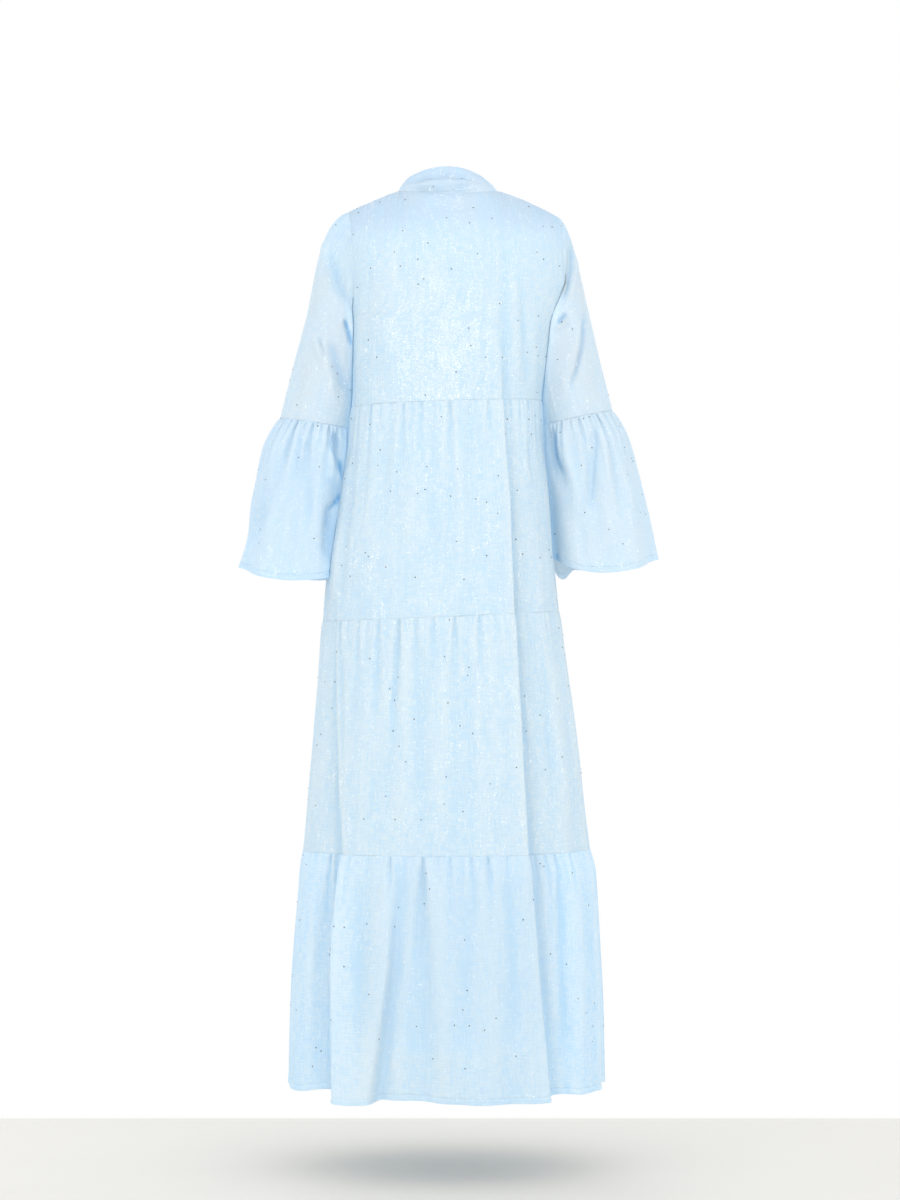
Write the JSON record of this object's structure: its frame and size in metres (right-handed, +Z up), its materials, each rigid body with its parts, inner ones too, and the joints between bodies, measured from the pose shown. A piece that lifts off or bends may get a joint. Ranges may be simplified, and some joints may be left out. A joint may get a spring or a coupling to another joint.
{
  "type": "jalabiya",
  "caption": "Loose full-length jalabiya dress with stand collar, long bell-flounced sleeves and gathered tiers, held hollow as worn.",
  "frame": {"origin": "midway between the two points where the shoulder seams meet the collar, at the height the dress hangs from the wearer's shoulders", "axes": "+Z up, +Y towards the wearer's back, +X to the wearer's left"},
  "size_m": [0.675, 0.3714, 1.4649],
  "materials": {
    "glitter_cotton": "crinkled light cotton with woven glitter",
    "lining_cotton": "plain light cotton"
  },
  "bodies": {
    "root": {"collar": "glitter_cotton", "bodice_back": "glitter_cotton", "bodice_front": "glitter_cotton", "sleeve_left": "glitter_cotton", "flounce_left": "glitter_cotton", "sleeve_right": "glitter_cotton", "flounce_right": "glitter_cotton", "tier_upper_back": "glitter_cotton", "tier_upper_front": "glitter_cotton", "tier_middle_back": "glitter_cotton", "tier_middle_front": "glitter_cotton", "tier_hem_back": "glitter_cotton", "tier_hem_front": "glitter_cotton", "lining": "lining_cotton"}
  },
  "joints": []
}
